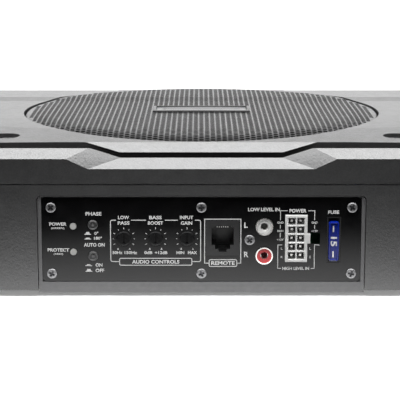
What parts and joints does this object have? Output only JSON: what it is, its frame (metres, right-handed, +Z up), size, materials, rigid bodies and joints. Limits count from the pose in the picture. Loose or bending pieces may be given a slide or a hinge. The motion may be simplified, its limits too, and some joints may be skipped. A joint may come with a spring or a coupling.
{
  "type": "powered car subwoofer",
  "caption": "Low under-seat powered subwoofer: moulded enclosure, round mesh grille, and an amplifier panel with knobs, buttons, jacks, header and fuse.",
  "frame": {"origin": "middle of the footprint, at the bottom of the rubber feet", "axes": "+X to the right when facing the control panel, the panel faces -Y, +Z up"},
  "size_m": [0.34, 0.212, 0.0755],
  "materials": {
    "textured_black": "fine pebble-grain moulded black",
    "chassis_grey": "satin dark grey coat on cast aluminium",
    "gloss_panel": "gloss black plate with white printed marks",
    "mesh_black": "semi-gloss black coated perforated steel",
    "screw_steel": "zinc plated",
    "black_screw": "black zinc",
    "bright_metal": "nickel plated",
    "tin_contacts": "tin plated",
    "white_plastic": "natural white nylon",
    "red_plastic": "red moulded",
    "fuse_blue": "translucent blue polycarbonate",
    "led_lens": "milky diffused lens",
    "black_plastic": "fine matte black",
    "badge_metal": "satin rimmed, plain",
    "rubber_black": "soft matte",
    "foam_black": "closed cell foam",
    "cone_paper": "pressed pulp, black",
    "cap_gloss": "smooth black",
    "spider_cloth": "resin treated weave",
    "coil_copper": "enamelled copper",
    "former_kraft": "thin aluminium",
    "motor_steel": "zinc plated steel",
    "ferrite": "sintered ferrite",
    "basket_black": "black powder coat",
    "board_green": "solder mask",
    "component_black": "moulded epoxy",
    "copper_winding": "enamelled winding",
    "lead_red_black": "insulated wire"
  },
  "bodies": {
    "housing": {"base_shell": "textured_black", "upper_housing": "textured_black", "housing_gasket": "foam_black", "housing_screws": "black_screw", "rubber_feet": "rubber_black", "top_cover": "textured_black", "cover_screws": "black_screw", "grille_mesh": "mesh_black", "grille_ring": "black_plastic", "grille_ring_screws": "screw_steel", "grille_badge": "badge_metal", "woofer_basket": "basket_black", "woofer_gasket": "foam_black", "woofer_screws": "black_screw", "surround": "rubber_black", "spider": "spider_cloth", "top_plate": "motor_steel", "magnet": "ferrite", "back_plate_and_pole": "motor_steel", "speaker_terminals": "component_black", "tinsel_leads": "tin_contacts", "speaker_leads": "lead_red_black", "amp_chassis": "chassis_grey", "main_board": "board_green", "standoffs": "screw_steel", "board_screws": "screw_steel", "transformer": "copper_winding", "filter_capacitors": "component_black", "power_transistors": "component_black", "transistor_clamp": "screw_steel", "control_board": "board_green", "chassis_screws": "screw_steel", "control_panel": "gloss_panel", "panel_screws": "screw_steel", "power_led": "led_lens", "protect_led": "led_lens", "phase_switch": "component_black", "auto_on_switch": "component_black", "potentiometers": "component_black", "remote_jack": "black_plastic", "remote_jack_contacts": "tin_contacts", "rca_insulator_white": "white_plastic", "rca_insulator_red": "red_plastic", "rca_shells": "bright_metal", "rca_centre_contacts": "bright_metal", "power_header": "white_plastic", "header_pins": "tin_contacts", "fuse_holder": "black_plastic"},
    "cone_assembly": {"cone": "cone_paper", "dust_cap": "cap_gloss", "voice_coil_former": "former_kraft", "voice_coil": "coil_copper"},
    "phase_button": {"phase_button": "black_plastic"},
    "auto_on_button": {"auto_on_button": "black_plastic"},
    "low_pass_knob": {"low_pass_knob": "black_plastic"},
    "bass_boost_knob": {"bass_boost_knob": "black_plastic"},
    "input_gain_knob": {"input_gain_knob": "black_plastic"},
    "fuse": {"fuse_body": "fuse_blue", "fuse_blades": "tin_contacts"}
  },
  "joints": [
    {"name": "cone_travel", "type": "slide", "parent": "housing", "child": "cone_assembly", "axis": [0, 0, 1], "range_m": [-0.005, 0.005], "stiffness_N_per_m": 1800, "deforming": ["surround", "spider", "tinsel_leads"]},
    {"name": "phase_press", "type": "slide", "parent": "housing", "child": "phase_button", "axis": [0, 1, 0], "range_m": [0, 0.0015], "stiffness_N_per_m": 600},
    {"name": "auto_on_press", "type": "slide", "parent": "housing", "child": "auto_on_button", "axis": [0, 1, 0], "range_m": [0, 0.0015], "stiffness_N_per_m": 600},
    {"name": "low_pass_turn", "type": "hinge", "parent": "housing", "child": "low_pass_knob", "pos_m": [-0.0371, -0.1048, 0.0283], "axis": [0, 1, 0], "range_deg": [-140, 140]},
    {"name": "bass_boost_turn", "type": "hinge", "parent": "housing", "child": "bass_boost_knob", "pos_m": [-0.0219, -0.1048, 0.0283], "axis": [0, 1, 0], "range_deg": [-140, 140]},
    {"name": "input_gain_turn", "type": "hinge", "parent": "housing", "child": "input_gain_knob", "pos_m": [-0.0069, -0.1048, 0.0283], "axis": [0, 1, 0], "range_deg": [-140, 140]},
    {"name": "fuse_pull", "type": "slide", "parent": "housing", "child": "fuse", "axis": [0, -1, 0], "range_m": [0, 0.014]}
  ]
}
